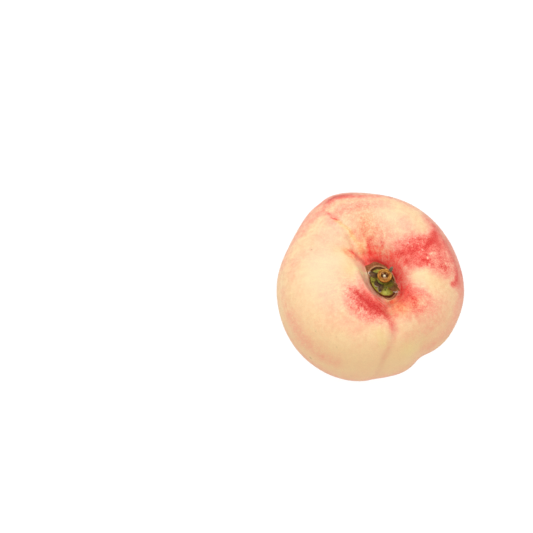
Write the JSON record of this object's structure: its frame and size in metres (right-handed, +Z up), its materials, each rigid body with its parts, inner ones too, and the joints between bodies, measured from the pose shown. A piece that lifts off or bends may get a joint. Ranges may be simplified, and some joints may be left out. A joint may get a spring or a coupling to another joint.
{
  "type": "flat peach",
  "caption": "Flat, doughnut-shaped peach lying on its flower end, with the pad, dry calyx and cut stalk left in its stem cavity.",
  "frame": {"origin": "on the surface that the fruit rests on, under the middle of its outside box", "axes": "+Z up through the stem cavity, +Y along the fruit's longest width and away from the picture's viewer, +X to the viewer's right"},
  "size_m": [0.0706, 0.0724, 0.0412],
  "materials": {
    "skin": "cream-yellow skin with red blush and a fine down, matte",
    "green_pad": "moist green plant tissue",
    "dry_calyx": "dry grey-brown leaf tissue",
    "cut_wood": "freshly cut end of a thin woody stalk"
  },
  "bodies": {
    "root": {"fruit": "skin", "receptacle": "green_pad", "calyx": "dry_calyx", "stalk": "cut_wood"}
  },
  "joints": []
}
